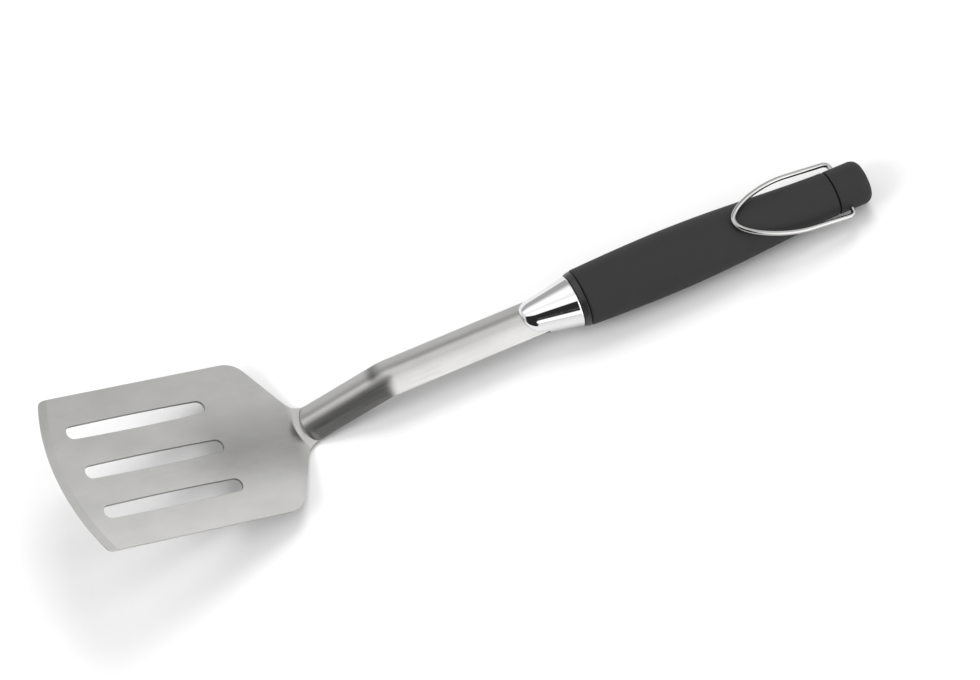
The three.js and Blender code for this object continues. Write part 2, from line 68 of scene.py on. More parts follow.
# Sheet and blade
SHEET = 1.5
CUT_EDGE = 0.14
BLADE_LENGTH = 153.6
BLADE_WIDTH = 93.6
BLADE_TILT = math.radians(25.8)
FRONT_RADIUS = 115
FRONT_CORNER_RADIUS = 4
BEVEL_WIDTH = 4.4
BEVEL_DEPTH = 0.9
SHOULDER_ANGLE = math.radians(59.5)
SHOULDER_RADIUS = 13.7
NECK_FILLET_RADIUS = 13.7
SHOULDER_FOOT = 2.2
SLOT_WIDTH = 7.9
SLOT_BOW = 0.45
SLOT_SIDES = (-1, 0, 1)
SLOT_PITCH = 24.7
SLOT_TO_NECK = 52
SLOT_TO_FRONT = 16.8

# Slopes that pressing the neck has left in the blade's face, drawn as shading
WAVE_REACH = 85
WAVE_HALF_WIDTH = 27
WAVE_SLOPE = 0.12
WAVE_LEAST = -0.5
WAVE_FRONT_FADE = 30
WAVE_REAR_FADE = 3
CROWN_SLOPE = 0.09
CROWN_FADE = 20

# Shaft and tang
FOLD_RADIUS = 3
FOLD_CUT = 3.2
FOLD_BOW = 3.0
FOLD_BOW_REACH = 14
RISE_LENGTH = 51.3
RISE_TILT = math.radians(19.6)
BEND_RADIUS = 16
SHAFT_WIDTH = 20.6
SHAFT_RISE = 7.4
RIDGE_ROUNDNESS = 0.6
CHANNEL_NOSE_START = 1.8
CHANNEL_NOSE_LENGTH = 2.6
CHANNEL_NOSE_BOW = 3.6
TANG_WIDTH = 15.6
TANG_TAPER_START = 94
TANG_TAPER_LENGTH = 14
TANG_END = 204

# Handle, with distances along its axis counted from the bend of the shaft
HANDLE_TILT = math.radians(1.47)
AXIS_RISE = 0.8
FERRULE_REAR = 110.6
FERRULE_LENGTH = 33.2
FERRULE_HALF_WIDTH = 14.8
FERRULE_HALF_HEIGHT = 12.2
FERRULE_WALL = 1.4
FERRULE_LIP = 0.45
FERRULE_LIP_SLANT = 0.3
FERRULE_TIP_HALF_WIDTH = 8.2
FERRULE_TIP_HALF_HEIGHT = 9.5
FERRULE_TIP_DEPTH = 6
FERRULE_NOSE_PLAN = 8.5
FERRULE_NOSE_SIDE = 4
COLLAR_LENGTH = 3.3
COLLAR_HALF_WIDTH = 15.2
COLLAR_HALF_HEIGHT = 12.5
COLLAR_FLARE = 0.9
COLLAR_EDGE = 0.4
COLLAR_WALL = 1.2
GRIP_LENGTH = 151.5
GRIP_FRONT = (16.4, 13.1)
GRIP_BELLY = (17.7, 13.6)
GRIP_REAR = (12.7, 10.8)
BELLY_FROM_FRONT = 50
TAPER_POWER = 1.5
GRIP_WALL = 2.4
GRIP_EDGE_RADIUS = 1.6
RIVET_PLACES = (139, 179)
RIVET_HOLE_RADIUS = 2.3

# End cap and hanging loop
CAP_LENGTH = 20
CAP_TAPER = 0.2
CAP_FRONT_EDGE = 0.5
CAP_SHARP_ANGLE = math.radians(40)
CAP_EDGE_RADIUS = 4.5
SPIGOT_LENGTH = 12
SPIGOT_HALF_WIDTH = 8
SPIGOT_HALF_HEIGHT = 6.5
PIVOT_FROM_CAP_FRONT = 6.2
PIVOT_RECESS_RADIUS = 3.6
PIVOT_RECESS_DEPTH = 1.2
WIRE_RADIUS = 1.4
BAIL_LENGTH = 67.9
BAIL_HALF_WIDTH = 17.1
BAIL_LEG_LENGTH = 28
BAIL_LEG_REACH = 16.5
BAIL_APEX_REACH = 8.2
BAIL_BEND = 4
BAIL_STUB_INNER = 5
BAIL_ANGLE = math.radians(12.353)

FIT = 0.3

# Steps of the meshes
FRONT_STEPS = 60
FRONT_CORNER_STEPS = 10
BEVEL_STEPS = 80
SLOT_END_STEPS = 32
SLOT_SIDE_STEPS = 40
RIVET_HOLE_STEPS = 24
CUT_EDGE_STEPS = 3
BLADE_GRID = (36, 26)
BLADE_GRID_MARGIN = 1.2
ROW_COLUMNS = 44
ROW_MARGIN = 0.45
OVAL_SIDES = 96
ROUND_STEPS = 6
ROOF_STEPS = 40
DOME_SIDES = 160
DOME_ROWS = 48
DOME_CROWDING = 1.6
DOME_WALL_STEPS = 6
DOME_TIP = 0.01
HALVINGS = 30
COLLAR_STEPS = 4
GRIP_FRONT_STEPS = 30
GRIP_REAR_STEPS = 60
CAP_FRONT_EDGE_STEPS = 4
CAP_SIDE_STEPS = 8
CAP_REAR_EDGE_STEPS = 14
CUTTER_SIDES = 48
CUTTER_MARGIN = 2
WIRE_SIDES = 20
LOOP_STEPS = (6, 14, 10, 60)
TANG_END_SHARES = (0.6, 0.0)
MERGE_DISTANCE = 1e-6
SMALL_STEP = 1e-3

# Places worked out from the sizes
BEND_TURN = RISE_TILT + HANDLE_TILT
FOLD_FRONT_TANGENT = FOLD_RADIUS * math.tan(BLADE_TILT / 2)
FOLD_REAR_TANGENT = FOLD_RADIUS * math.tan(RISE_TILT / 2)
FOLD_REAR_CUT = FOLD_CUT * math.sin(BLADE_TILT) / math.sin(RISE_TILT)
FOLD_LEVEL = FOLD_CUT * math.cos(BLADE_TILT) + FOLD_REAR_CUT * math.cos(RISE_TILT)
BEND_TANGENT = BEND_RADIUS * math.tan(BEND_TURN / 2)
COLLAR_FRONT = FERRULE_REAR + FIT
COLLAR_REAR = COLLAR_FRONT + COLLAR_LENGTH
GRIP_START = COLLAR_REAR + FIT
GRIP_END = GRIP_START + GRIP_LENGTH
GRIP_BELLY_AT = GRIP_START + BELLY_FROM_FRONT
CAP_FRONT = GRIP_END + FIT
CAP_REAR = CAP_FRONT + CAP_LENGTH
PIVOT_AT = CAP_FRONT + PIVOT_FROM_CAP_FRONT

BEND_POINT = Vector((RISE_LENGTH * math.cos(RISE_TILT), 0, RISE_LENGTH * math.sin(RISE_TILT)))
HANDLE = Matrix.Translation(BEND_POINT) @ Matrix.Rotation(HANDLE_TILT, 4, "Y")
PIVOT = HANDLE @ Vector((PIVOT_AT, 0, AXIS_RISE))
ORIGIN = Vector(frame["joints"][0]["pos_m"]) / MM - PIVOT


def span(start, end, steps):
    """Evenly spaced numbers from one value to another, both included."""
    return [start + (end - start) * i / steps for i in range(steps + 1)]


def walk(start, runs):
    """Places along a row of runs, each given by its end and its steps. The start is left out."""
    places = []
    for end, steps in runs:
        places += span(start, end, steps)[1:]
        start = end
    return places


def clamp(value):
    return min(max(value, 0.0), 1.0)


def lerp(start, end, share):
    return start + (end - start) * share


# Meshes


def make_object(name, points, faces, uvs=None, normals=None):
    """A smooth mesh object from points in millimetres.

    There is one UV for each point and one normal for each corner of a face.
    """
    mesh = bpy.data.meshes.new(name)
    mesh.from_pydata([(point + ORIGIN) * MM for point in points], [], faces)
    if uvs:
        layer = mesh.uv_layers.new(name="UVMap")
        for loop in mesh.loops:
            layer.data[loop.index].uv = uvs[loop.vertex_index]
    mesh.shade_smooth()
    if normals:
        mesh.normals_split_custom_set(normals)
    piece = bpy.data.objects.new(name, mesh)
    bpy.context.scene.collection.objects.link(piece)
    return piece


def loft_faces(ring_count, side_count, closed=False):
    """Quads through a row of rings. A closed row joins its last ring to its first."""
    faces = []
    for i in range(ring_count if closed else ring_count - 1):
        here = i * side_count
        there = (i + 1) % ring_count * side_count
        for j in range(side_count):
            k = (j + 1) % side_count
            faces.append((here + j, here + k, there + k, there + j))
    return faces


def loft_uvs(rings):
    """Distance along the row of rings and round each ring, in millimetres."""
    uvs = []
    along = 0.0
    for i, ring in enumerate(rings):
        if i:
            along += sum((a - b).length for a, b in zip(ring, rings[i - 1])) / len(ring)
        round_it = 0.0
        for j, point in enumerate(ring):
            if j:
                round_it += (point - ring[j - 1]).length
            uvs.append((along, round_it))
    return uvs


def capped_faces(ring_count, side_count):
    """Quads through a row of rings, with a flat face at both ends."""
    last = (ring_count - 1) * side_count
    faces = loft_faces(ring_count, side_count)
    faces.append(tuple(range(side_count - 1, -1, -1)))
    faces.append(tuple(range(last, last + side_count)))
    return faces


def ring_object(name, rings, closed=False):
    """A piece through a row of rings, closed on itself or with a flat face at both ends."""
    sides = len(rings[0])
    points = [point for ring in rings for point in ring]
    if closed:
        faces = loft_faces(len(rings), sides, closed=True)
    else:
        faces = capped_faces(len(rings), sides)
    return make_object(name, points, faces, loft_uvs(rings))


# Shape of the pressing

# Runs of its side profile from the blade's front to the tang's end: length and curvature
RUNS = (
    (BLADE_LENGTH - FOLD_CUT - FOLD_FRONT_TANGENT, 0.0),
    (FOLD_RADIUS * BLADE_TILT, 1 / FOLD_RADIUS),
    (FOLD_LEVEL - FOLD_FRONT_TANGENT - FOLD_REAR_TANGENT, 0.0),
    (FOLD_RADIUS * RISE_TILT, 1 / FOLD_RADIUS),
    (RISE_LENGTH - FOLD_REAR_CUT - FOLD_REAR_TANGENT - BEND_TANGENT, 0.0),
    (BEND_RADIUS * BEND_TURN, -1 / BEND_RADIUS),
    (TANG_END - BEND_TANGENT, 0.0),
)
FOLD_HALF = sum(length for length, _ in RUNS[1:4]) / 2
NECK_DISTANCE = RUNS[0][0] + FOLD_HALF
BEND_START = FOLD_HALF + RUNS[4][0]
BEND_FINISH = BEND_START + RUNS[5][0]


def along_handle(place):
    """Developed distance of a place on the handle's axis."""
    return BEND_FINISH + place - BEND_TANGENT


def follow(start, length, curvature):
    """Where a run of the side profile has got to after a length."""
    x, z, tilt = start
    if curvature == 0:
        return x + length * math.cos(tilt), z + length * math.sin(tilt), tilt
    turned = tilt + curvature * length
    ahead = (math.sin(turned) - math.sin(tilt)) / curvature
    up = (math.cos(tilt) - math.cos(turned)) / curvature
    return x + ahead, z + up, turned


def profile_at(distance):
    """Point and tilt of the side profile. Distances are counted from the middle of the neck's fold."""
    state = (-BLADE_LENGTH * math.cos(BLADE_TILT), BLADE_LENGTH * math.sin(BLADE_TILT), -BLADE_TILT)
    left = distance + NECK_DISTANCE
    for length, curvature in RUNS[:-1]:
        if left <= length:
            return follow(state, left, curvature)
        state = follow(state, length, curvature)
        left -= length
    return follow(state, left, RUNS[-1][1])


RISE_TOP = profile_at(BEND_START)
HALF_SHAFT = SHAFT_WIDTH / 2
SHOULDER_DROP = (BLADE_WIDTH / 2 - HALF_SHAFT) / math.tan(SHOULDER_ANGLE)
CORNER_TANGENT = SHOULDER_RADIUS * math.tan(SHOULDER_ANGLE / 2)
FILLET_TANGENT = NECK_FILLET_RADIUS * math.tan(SHOULDER_ANGLE / 2)
CORNER_START = -SHOULDER_FOOT - SHOULDER_DROP - CORNER_TANGENT
CORNER_FINISH = -SHOULDER_FOOT - SHOULDER_DROP + CORNER_TANGENT * math.cos(SHOULDER_ANGLE)
FILLET_START = -SHOULDER_FOOT - FILLET_TANGENT * math.cos(SHOULDER_ANGLE)
FILLET_FINISH = -SHOULDER_FOOT + FILLET_TANGENT
TAPER_START = along_handle(TANG_TAPER_START)
TAPER_FINISH = along_handle(TANG_TAPER_START + TANG_TAPER_LENGTH)
TANG_FINISH = along_handle(TANG_END)


def half_width_at(distance):
    """Half width of the blank: blade, rounded corner, slanting shoulder, neck fillet, shaft, tang."""
    if distance <= CORNER_START:
        return BLADE_WIDTH / 2
    if distance < CORNER_FINISH:
        rise = math.sqrt(SHOULDER_RADIUS**2 - (distance - CORNER_START) ** 2)
        return BLADE_WIDTH / 2 - SHOULDER_RADIUS + rise
    if distance < FILLET_START:
        return HALF_SHAFT - (distance + SHOULDER_FOOT) * math.tan(SHOULDER_ANGLE)
    if distance < FILLET_FINISH:
        rise = math.sqrt(NECK_FILLET_RADIUS**2 - (FILLET_FINISH - distance) ** 2)
        return HALF_SHAFT + NECK_FILLET_RADIUS - rise
    taper = (distance - TAPER_START) / TANG_TAPER_LENGTH
    return lerp(SHAFT_WIDTH, TANG_WIDTH, clamp(taper)) / 2


def fold_lead(y):
    """How far ahead of the fold at the edges the sheet starts to bend: most on the axis."""
    return FOLD_BOW / 2 * (1 + math.cos(math.pi * min(abs(y) / FOLD_BOW_REACH, 1.0)))


def bent(length):
    """Height over the blade's plane after a length that begins where the fold does."""
    height = 0.0
    slope = 0.0
    for run, curvature in RUNS[1:4]:
        part = min(max(length, 0.0), run)
        height += slope * part + curvature * part**2 / 2
        slope += curvature * part
        length -= run
    return height + slope * max(length, 0.0)


def channel_rise(distance, across):
    """Share of the channel's height that is reached, from a nose that is round in plan."""
    start = CHANNEL_NOSE_BOW * min(across**2, 1.0) - CHANNEL_NOSE_START
    rise = clamp((distance - start) / CHANNEL_NOSE_LENGTH)
    return math.sin(rise * math.pi / 2) ** 2


ROOF_SPAN = math.hypot(1, RIDGE_ROUNDNESS) - RIDGE_ROUNDNESS


def roof(across):
    """Section of the channel from edge (-1) to edge (1): two even flanks and a rounded ridge."""
    return (math.hypot(1, RIDGE_ROUNDNESS) - math.hypot(across, RIDGE_ROUNDNESS)) / ROOF_SPAN


def roof_slope(across):
    return -across / math.hypot(across, RIDGE_ROUNDNESS) / ROOF_SPAN


def sheet_point(distance, y):
    """A point in the middle of the sheet: the folded strip, passing into the roof of the channel."""
    x, z, tilt = profile_at(distance)
    across = y / half_width_at(distance)
    scale = half_width_at(distance) / HALF_SHAFT if distance > FILLET_FINISH else 1.0
    entered = distance + FOLD_HALF
    toe = bent(entered + fold_lead(y)) - bent(entered)
    strip = Vector((x - toe * math.sin(tilt), y, z + toe * math.cos(tilt)))
    if distance < BEND_START:
        tilt = RISE_TILT
        x = RISE_TOP[0] - (BEND_START - distance) * math.cos(tilt)
        z = RISE_TOP[1] - (BEND_START - distance) * math.sin(tilt)
    height = SHAFT_RISE * scale * roof(across)
    channel = Vector((x - height * math.sin(tilt), y, z + height * math.cos(tilt)))
    return strip.lerp(channel, channel_rise(distance, across))


def sheet_frame(distance, y):
    """A point of the sheet, its normal, and the ways that lead along and across it."""
    step = SMALL_STEP
    along = (sheet_point(distance + step, y) - sheet_point(distance - step, y)).normalized()
    across = (sheet_point(distance, y + step) - sheet_point(distance, y - step)).normalized()
    return sheet_point(distance, y), along.cross(across).normalized(), along, across


# The blank, drawn flat: distance along the profile and distance across it


FRONT_CENTRE = FRONT_RADIUS - NECK_DISTANCE
FRONT_CORNER_Y = BLADE_WIDTH / 2 - FRONT_CORNER_RADIUS
FRONT_CORNER_AT = FRONT_CENTRE - math.sqrt((FRONT_RADIUS - FRONT_CORNER_RADIUS) ** 2 - FRONT_CORNER_Y**2)
BEVEL_RADIUS = FRONT_RADIUS - BEVEL_WIDTH
BEVEL_SIDE_AT = FRONT_CENTRE - math.sqrt(BEVEL_RADIUS**2 - (BLADE_WIDTH / 2) ** 2)
BEVEL_SLOPE = BEVEL_DEPTH / BEVEL_WIDTH

# Runs of the outline's side and of the rows inside it: where each ends, and its steps
OUTLINE_RUNS = (
    (BEVEL_SIDE_AT, 2),
    (CORNER_START, 50),
    (CORNER_FINISH, 30),
    (FILLET_START, 12),
    (FILLET_FINISH, 30),
    (BEND_START, 24),
    (BEND_FINISH, 12),
    (TAPER_START, 40),
    (TAPER_FINISH, 4),
    (TANG_FINISH, 20),
)
BLADE_GRID_LEAD = 4
BLADE_GRID_FINISH = FILLET_START - BLADE_GRID_LEAD
ROWS_LEAD = 2
ROWS_START = FILLET_START - ROWS_LEAD
BEND_ROWS_MARGIN = 3
ROW_RUNS = (
    (FILLET_FINISH, 48),
    (BEND_START - BEND_ROWS_MARGIN, 16),
    (BEND_FINISH + BEND_ROWS_MARGIN, 24),
    (TAPER_START, 26),
    (TANG_FINISH, 30),
)


def front_reach(distance, y):
    """Distance from the centre of the front edge's arc."""
    return math.hypot(distance - FRONT_CENTRE, y)


def arc(centre, radius, angles):
    """Places on an arc about a centre."""
    return [(centre[0] + radius * math.cos(a), centre[1] + radius * math.sin(a)) for a in angles]


def blank_outline():
    """The closed outline of the blank, with the metal on its left."""
    meet = math.atan2(FRONT_CORNER_Y, FRONT_CENTRE - FRONT_CORNER_AT)
    half = [
        (FRONT_CENTRE - FRONT_RADIUS * math.cos(angle), FRONT_RADIUS * math.sin(angle))
        for angle in span(0, meet, FRONT_STEPS)
    ]
    half += [
        (
            FRONT_CORNER_AT - FRONT_CORNER_RADIUS * math.cos(angle),
            FRONT_CORNER_Y + FRONT_CORNER_RADIUS * math.sin(angle),
        )
        for angle in span(meet, math.pi / 2, FRONT_CORNER_STEPS)[1:]
    ]
    half += [(place, half_width_at(place)) for place in walk(FRONT_CORNER_AT, OUTLINE_RUNS)]
    end = half_width_at(TANG_FINISH)
    half += [(TANG_FINISH, end * share) for share in TANG_END_SHARES]
    return [(d, -y) for d, y in half] + [(d, y) for d, y in half[-2:0:-1]]


SLOT_REAR = -SLOT_TO_NECK - SLOT_WIDTH / 2 + BLADE_LENGTH - NECK_DISTANCE
SLOT_FRONT = SLOT_TO_FRONT - NECK_DISTANCE + SLOT_WIDTH / 2


def slot_bow(distance):
    """How far the sides of a slot stand out between its ends."""
    along = clamp((distance - SLOT_FRONT) / (SLOT_REAR - SLOT_FRONT))
    return 4 * SLOT_BOW * along * (1 - along)


def slot_outline(offset):
    """The closed outline of one slot, with the metal on its left."""
    radius = SLOT_WIDTH / 2
    quarter = math.pi / 2
    rear_side = span(SLOT_REAR, SLOT_FRONT, SLOT_SIDE_STEPS)[1:-1]
    front_side = span(SLOT_FRONT, SLOT_REAR, SLOT_SIDE_STEPS)[1:-1]
    return [
        *arc((SLOT_REAR, offset), radius, span(quarter, -quarter, SLOT_END_STEPS)),
        *((place, offset - radius - slot_bow(place)) for place in rear_side),
        *arc((SLOT_FRONT, offset), radius, span(-quarter, -3 * quarter, SLOT_END_STEPS)),
        *((place, offset + radius + slot_bow(place)) for place in front_side),
    ]


def hole_outline(place):
    """The closed outline of a rivet hole in the tang, with the metal on its left."""
    turns = span(0, -2 * math.pi, RIVET_HOLE_STEPS)[:-1]
    return arc((along_handle(place), 0.0), RIVET_HOLE_RADIUS, turns)


def inward_ways(loop):
    """At each point of a closed outline, the unit way into the metal."""
    ways = []
    for i in range(len(loop)):
        (d0, y0), (d1, y1) = loop[i - 1], loop[(i + 1) % len(loop)]
        ways.append(Vector((y0 - y1, d1 - d0)).normalized())
    return ways


def near_hole(distance, y, margin):
    """Whether a place of the blank is in a slot or a rivet hole, or within a margin of one."""
    radius = SLOT_WIDTH / 2 + slot_bow(distance)
    nearest = min(max(distance, SLOT_FRONT), SLOT_REAR)
    slots = (math.hypot(distance - nearest, y - side * SLOT_PITCH) for side in SLOT_SIDES)
    if any(slot < radius + margin for slot in slots):
        return True
    holes = (math.hypot(distance - along_handle(place), y) for place in RIVET_PLACES)
    return any(hole < RIVET_HOLE_RADIUS + margin for hole in holes)


def in_metal(distance, y, margin):
    """Whether a place of the blank keeps a margin from every outline and from the bevel's line."""
    reach = front_reach(distance, y)
    at_front = reach > FRONT_RADIUS - margin or abs(reach - BEVEL_RADIUS) < margin
    if distance < FRONT_CENTRE and at_front:
        return False
    if abs(y) > half_width_at(distance) - margin or distance > TANG_FINISH - margin:
        return False
    return not near_hole(distance, y, margin)


def blank_filling():
    """Places inside the blank: a coarse grid on the blade, and rows across the channel."""
    along, across = BLADE_GRID
    places = [
        (distance, y)
        for distance in span(-NECK_DISTANCE, BLADE_GRID_FINISH, along)
        for y in span(-BLADE_WIDTH / 2, BLADE_WIDTH / 2, across)
        if in_metal(distance, y, BLADE_GRID_MARGIN)
    ]
    for distance in [ROWS_START, *walk(ROWS_START, ROW_RUNS)]:
        half = half_width_at(distance)
        row = [(distance, half * share) for share in span(-1, 1, ROW_COLUMNS)]
        places += [place for place in row if in_metal(*place, ROW_MARGIN)]
    return places


def bevel_end(outline, side):
    """The outline point where the bevel's line ends at one side of the blade."""
    near = [i for i, (_, y) in enumerate(outline) if y * side > BLADE_WIDTH / 2 - CUT_EDGE]
    return min(near, key=lambda i: abs(outline[i][0] - BEVEL_SIDE_AT))


def blank_mesh(outlines):
    """The flat blank in triangles: its places, the triangles, and each outline point's place."""
    flat = []
    edges = []
    for loop in outlines:
        first = len(flat)
        flat += [Vector(place) + way * CUT_EDGE for place, way in zip(loop, inward_ways(loop))]
        edges += [(first + i, first + (i + 1) % len(loop)) for i in range(len(loop))]
    rim_count = len(flat)

    swing = math.asin((BLADE_WIDTH / 2 - CUT_EDGE) / BEVEL_RADIUS)
    bevel = [
        Vector((FRONT_CENTRE - BEVEL_RADIUS * math.cos(angle), BEVEL_RADIUS * math.sin(angle)))
        for angle in span(-swing, swing, BEVEL_STEPS)[1:-1]
    ]
    line = [
        bevel_end(outlines[0], -1),
        *range(rim_count, rim_count + len(bevel)),
        bevel_end(outlines[0], 1),
    ]
    edges += list(zip(line, line[1:]))
    flat += bevel
    flat += [Vector(place) for place in blank_filling()]

    places, _, triangles, sources, _, _ = delaunay_2d_cdt(flat, edges, [], 1, MERGE_DISTANCE)
    place_of = {source[0]: i for i, source in enumerate(sources)}
    return places, triangles, [place_of[i] for i in range(rim_count)]


def blade_and_shaft():
    """The pressing: both faces of the sheet, the ground bevel, and rounded cut edges."""
    outlines = [blank_outline(), *(slot_outline(side * SLOT_PITCH) for side in SLOT_SIDES)]
    outlines += [hole_outline(place) for place in RIVET_PLACES]
    places, triangles, rim = blank_mesh(outlines)

    frames = [sheet_frame(*place) for place in places]
    under = len(places)
    points = [
        point + normal * top_height(*place) for place, (point, normal, _, _) in zip(places, frames)
    ]
    points += [point - normal * SHEET / 2 for point, normal, _, _ in frames]
    uvs = [(y, d) for d, y in places] * 2

    faces = []
    normals = []
    for a, b, c in triangles:
        middle = (places[a] + places[b] + places[c]) / 3
        if near_hole(*middle, CUT_EDGE):
            continue
        ground = middle.x < FRONT_CENTRE and front_reach(*middle) > BEVEL_RADIUS
        faces.append((a, b, c))
        normals += [top_normal(places[i], frames[i], ground) for i in (a, b, c)]
        faces.append((under + c, under + b, under + a))
        normals += [-frames[i][1] for i in (c, b, a)]

    rim_places = iter(rim)
    outer_faces = 0
    for loop in outlines:
        columns = []
        for place, way in zip(loop, inward_ways(loop)):
            column, column_normals = edge_column(Vector(place), way)
            top = next(rim_places)
            first = len(points)
            points += column[1:-1]
            uvs += [(place[1], place[0])] * (len(column) - 2)
            columns.append(([top, *range(first, len(points)), under + top], column_normals))
        for (a, a_normals), (b, b_normals) in zip(columns, columns[1:] + columns[:1]):
            for k in range(len(a) - 1):
                faces.append((b[k], a[k], a[k + 1], b[k + 1]))
                normals += [b_normals[k], a_normals[k], a_normals[k + 1], b_normals[k + 1]]
        outer_faces = outer_faces or len(faces)

    piece = make_object("blade", points, faces, uvs, normals)
    # Faces of the cut edges, which the steel darkens with painted shade
    layer = piece.data.attributes.new("edge_shade_mask", "FLOAT", "FACE")
    for i in range(outer_faces, len(faces)):
        layer.data[i].value = 1.0
    return piece


def top_height(distance, y):
    """Height of the sheet's upper face above its middle, lower on the ground bevel."""
    ground = front_reach(distance, y) - BEVEL_RADIUS if distance < FRONT_CENTRE else 0.0
    return SHEET / 2 - BEVEL_SLOPE * max(ground, 0.0)


def press_wave(distance, y):
    """Slopes along and across the blade's face where pressing has left it out of flat."""
    ahead = -distance - FOLD_HALF
    fade = clamp((distance + WAVE_REACH) / WAVE_FRONT_FADE) * clamp(ahead / WAVE_REAR_FADE)
    middle = max(1 - (y / WAVE_HALF_WIDTH) ** 2, WAVE_LEAST)
    crown = clamp(ahead / CROWN_FADE)
    return -WAVE_SLOPE * fade * middle, -CROWN_SLOPE * crown * y / (BLADE_WIDTH / 2)


def top_normal(place, sheet, ground):
    """Normal of the upper face, tipped towards the front on the ground bevel."""
    _, normal, along, across = sheet
    rise, fall = press_wave(*place)
    normal = (normal - along * rise - across * fall).normalized()
    if not ground:
        return normal
    way = Vector((place.x - FRONT_CENTRE, place.y)).normalized()
    return (normal + (along * way.x + across * way.y) * BEVEL_SLOPE).normalized()


def edge_column(place, inward):
    """Points and normals down a cut edge, from the upper face round to the lower one."""
    _, _, along, across = sheet_frame(place.x - SMALL_STEP * inward.x, place.y)
    out = -(along * inward.x + across * inward.y).normalized()
    column = []
    normals = []
    turns = span(0, math.pi / 2, CUT_EDGE_STEPS)
    for side, angles in ((1, turns), (-1, turns[::-1])):
        for angle in angles:
            spot = place + inward * CUT_EDGE * (1 - math.sin(angle))
            point, normal, _, _ = sheet_frame(*spot)
            face = top_height(*spot) if side > 0 else SHEET / 2
            column.append(point + normal * side * (face - CUT_EDGE * (1 - math.cos(angle))))
            normals.append((normal * side * math.cos(angle) + out * math.sin(angle)).normalized())
    return column, normals


# Handle pieces


def oval(place, half_width, half_height):
    """A ring about the handle's axis."""
    ring = []
    for j in range(OVAL_SIDES):
        angle = 2 * math.pi * (j + 0.5) / OVAL_SIDES
        y = half_width * math.cos(angle)
        ring.append(HANDLE @ Vector((place, y, AXIS_RISE + half_height * math.sin(angle))))
    return ring


def nose_spot(from_tip, turn, trim):
    """A point of the bullet nose in the handle's frame, on its outside or drawn in by a trim."""
    length = FERRULE_LENGTH - trim
    share = from_tip / length
    plan = math.sqrt(1 - (1 - clamp(from_tip / FERRULE_NOSE_PLAN)) ** 2)
    side = math.sqrt(1 - (1 - clamp(from_tip / FERRULE_NOSE_SIDE)) ** 2)
    half_width = (lerp(FERRULE_TIP_HALF_WIDTH, FERRULE_HALF_WIDTH, share) - trim) * plan
    tip = FERRULE_TIP_HALF_HEIGHT if math.sin(turn) > 0 else FERRULE_TIP_DEPTH
    reach = (lerp(tip, FERRULE_HALF_HEIGHT, share) - trim) * side
    x = FERRULE_REAR - length + from_tip
    return Vector((x, half_width * math.cos(turn), AXIS_RISE + reach * math.sin(turn)))


def in_shaft_room(y, z):
    """Whether a place of the handle's cross section is in the shaft's room, with its fit."""
    grow = SHEET / 2 + FIT
    if z < -grow:
        return False
    top = []
    for across in span(-1, 1, ROOF_STEPS):
        slope = roof_slope(across) * SHAFT_RISE / HALF_SHAFT
        scale = grow / math.hypot(1, slope)
        top.append((across * HALF_SHAFT - slope * scale, SHAFT_RISE * roof(across) + scale))
    for (y0, z0), (y1, z1) in zip(top, top[1:]):
        if y0 <= y <= y1:
            return z < lerp(z0, z1, (y - y0) / (y1 - y0))
    return False


def mouth_start(turn):
    """How far behind the tip the bullet nose comes out of the shaft's room."""
    low, high = DOME_TIP, FERRULE_LENGTH
    for _ in range(HALVINGS):
        middle = (low + high) / 2
        spot = nose_spot(middle, turn, 0)
        if in_shaft_room(spot.y, spot.z):
            low = middle
        else:
            high = middle
    return high


def dome_column(start, turn, spot, rim):
    """Points from the rounded lip over the outside of the bullet nose and back up its inside."""
    step = SMALL_STEP
    back = (nose_spot(start + step, turn, 0) - nose_spot(start - step, turn, 0)).normalized()
    round_it = nose_spot(start, turn + step, 0) - nose_spot(start, turn - step, 0)
    normal = round_it.cross(back).normalized()
    away = normal.cross(rim).normalized()
    away = away if away.dot(back) > 0 else -away
    centre = spot + (away - normal) * FERRULE_LIP
    lip = [
        centre + (normal * math.cos(angle) - away * math.sin(angle)) * FERRULE_LIP
        for angle in span(math.pi / 2, 0, ROUND_STEPS)
    ]
    start += 2 * FERRULE_LIP / max(away.dot(back), FERRULE_LIP_SLANT)
    outside = [lerp(start, FERRULE_LENGTH, share**DOME_CROWDING) for share in span(0, 1, DOME_ROWS)]
    inside = span(FERRULE_LENGTH - FERRULE_WALL, FERRULE_NOSE_PLAN, DOME_WALL_STEPS)
    return [
        *lip,
        *(nose_spot(station, turn, 0) for station in outside),
        *(nose_spot(station, turn, FERRULE_WALL) for station in inside),
    ]


def ferrule():
    """The polished bullet nose: an open dome with a rounded lip where the shaft enters."""
    turns = [2 * math.pi * (j + 0.5) / DOME_SIDES for j in range(DOME_SIDES)]
    starts = [mouth_start(turn) for turn in turns]
    mouth = [nose_spot(start, turn, 0) for start, turn in zip(starts, turns)]
    columns = []
    for j, (start, turn) in enumerate(zip(starts, turns)):
        rim = mouth[(j + 1) % DOME_SIDES] - mouth[j - 1]
        columns.append(dome_column(start, turn, mouth[j], rim))
    rings = [[HANDLE @ spot for spot in ring] for ring in zip(*columns)]
    return ring_object("ferrule_dome", rings, closed=True)


def rounded_sleeve(name, stations, size_at, edge, wall):
    """A tube about the handle's axis, with rounded ends outside and plain walls inside."""
    start, end = stations[0], stations[-1]
    turns = span(0, math.pi / 2, ROUND_STEPS)
    outside = [(start + edge * (1 - math.sin(t)), edge * (1 - math.cos(t))) for t in reversed(turns)]
    outside += [(place, 0.0) for place in stations if start + edge < place < end - edge]
    outside += [(end - edge * (1 - math.sin(t)), edge * (1 - math.cos(t))) for t in turns]
    rings = []
    for place, inset in outside:
        half_width, half_height = size_at(place)
        rings.append(oval(place, half_width - inset, half_height - inset))
    for place in reversed(stations):
        half_width, half_height = size_at(place)
        rings.append(oval(place, half_width - wall, half_height - wall))
    return ring_object(name, rings, closed=True)


